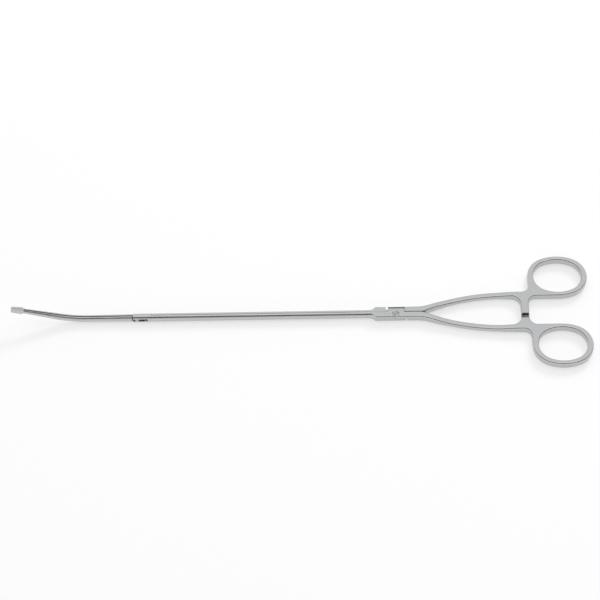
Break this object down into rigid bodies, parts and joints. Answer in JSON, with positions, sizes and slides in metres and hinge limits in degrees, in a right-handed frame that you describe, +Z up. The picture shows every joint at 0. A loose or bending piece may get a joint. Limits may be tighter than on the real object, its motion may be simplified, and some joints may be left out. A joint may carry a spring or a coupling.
{
  "type": "thoracoscopic forceps",
  "caption": "Long slender surgical forceps with curved jaws at the end of a sliding split shaft, worked by ring handles with a ratchet.",
  "frame": {"origin": "middle of the instrument's footprint, on the table it lies on", "axes": "+X along the shaft from the jaw tips to the finger rings, +Y towards the far ring, +Z up from the table, the way the jaws curve"},
  "size_m": [0.3584, 0.0794, 0.0156],
  "materials": {
    "satin_steel": "satin, fine matt grain",
    "turned_steel": "turned, lightly brushed"
  },
  "bodies": {
    "frame": {"far_handle": "satin_steel", "near_rod": "satin_steel", "pivot_screw": "turned_steel", "jaw_pivot_pin": "turned_steel", "rod_rivet_front": "turned_steel", "rod_rivet_rear": "turned_steel", "guide_stud_front": "turned_steel", "guide_stud_middle": "turned_steel", "guide_stud_rear": "turned_steel"},
    "moving_handle": {"near_handle": "satin_steel", "link_pin": "turned_steel"},
    "sliding_rod": {"far_rod": "satin_steel", "jaw_drive_pin": "turned_steel"},
    "far_jaw_body": {"far_jaw": "satin_steel"},
    "near_jaw_body": {"near_jaw": "satin_steel"}
  },
  "joints": [
    {"name": "handle_hinge", "type": "hinge", "parent": "frame", "child": "moving_handle", "pos_m": [0.0592, -0.0016, 0.0025], "axis": [0, 0, -1], "range_deg": [0, 22]},
    {"name": "rod_slide", "type": "slide", "parent": "frame", "child": "sliding_rod", "axis": [1, 0, 0], "range_m": [0, 0.0012]},
    {"name": "far_jaw_hinge", "type": "hinge", "parent": "frame", "child": "far_jaw_body", "pos_m": [-0.1021, 0, 0.0025], "axis": [0, 0, -1], "range_deg": [0, 12.01]},
    {"name": "near_jaw_hinge", "type": "hinge", "parent": "frame", "child": "near_jaw_body", "pos_m": [-0.1021, 0, 0.0025], "axis": [0, 0, 1], "range_deg": [0, 12.01]}
  ],
  "couplings": [
    {"joint": "rod_slide", "follows": "handle_hinge", "m_per_rad": 0.0030812},
    {"joint": "far_jaw_hinge", "follows": "handle_hinge", "ratio": 0.54546},
    {"joint": "near_jaw_hinge", "follows": "handle_hinge", "ratio": 0.54546}
  ]
}
